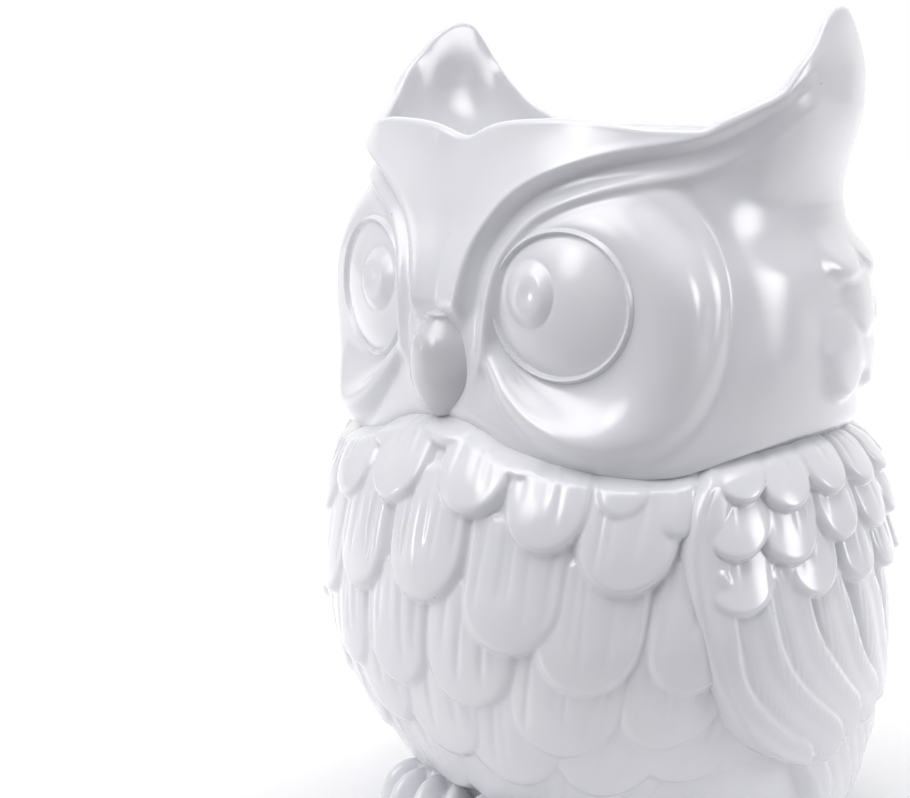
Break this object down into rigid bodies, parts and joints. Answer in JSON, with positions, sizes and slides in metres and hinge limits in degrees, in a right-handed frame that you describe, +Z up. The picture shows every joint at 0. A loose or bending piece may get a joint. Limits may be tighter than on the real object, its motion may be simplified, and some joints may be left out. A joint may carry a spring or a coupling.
{
  "type": "owl planter",
  "caption": "Hollow owl-shaped ceramic planter, open at the top of the head between its ear tufts, with a drain plug in the floor.",
  "frame": {"origin": "centre of the object's footprint, on the plane it stands on", "axes": "+Z up, the owl faces -Y, the owl's own left side is +X"},
  "size_m": [0.206, 0.2025, 0.293],
  "materials": {
    "glaze_white": "gloss",
    "rubber_grey": "matte"
  },
  "bodies": {
    "owl": {"body_shell": "glaze_white", "head_shell": "glaze_white", "beak": "glaze_white", "tail": "glaze_white", "left_ear_tuft": "glaze_white", "right_ear_tuft": "glaze_white", "left_brow": "glaze_white", "right_brow": "glaze_white", "left_eye": "glaze_white", "right_eye": "glaze_white", "left_facial_disc": "glaze_white", "right_facial_disc": "glaze_white", "left_wing": "glaze_white", "right_wing": "glaze_white", "left_foot": "glaze_white", "right_foot": "glaze_white"},
    "plug": {"drain_plug": "rubber_grey"}
  },
  "joints": [
    {"name": "plug_pull", "type": "slide", "parent": "owl", "child": "plug", "axis": [0, 0, 1], "range_m": [0, 0.04]}
  ]
}
